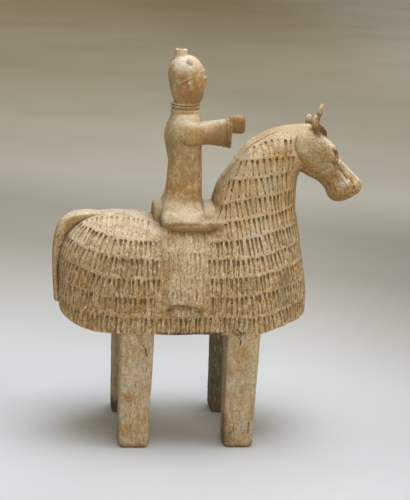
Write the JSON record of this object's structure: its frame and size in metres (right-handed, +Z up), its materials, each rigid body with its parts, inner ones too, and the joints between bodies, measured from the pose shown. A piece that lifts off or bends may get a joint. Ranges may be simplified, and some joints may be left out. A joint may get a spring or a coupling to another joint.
{
  "type": "pottery armoured horse and rider tomb figure",
  "caption": "Hand-modelled pottery tomb figure of a square-legged horse in lamellar barding, carrying a helmeted rider with one arm held forward and the other broken off.",
  "frame": {"origin": "on the plane of the feet, under the middle of the figure's box", "axes": "+X the way the horse looks, +Y to its left (far) side, +Z up"},
  "size_m": [0.3115, 0.1352, 0.393],
  "materials": {
    "low_fired_clay": "matt unglazed low-fired clay with cream slip, brown earth in the slits and olive stains"
  },
  "bodies": {
    "root": {"horse_and_rider": "low_fired_clay"}
  },
  "joints": []
}
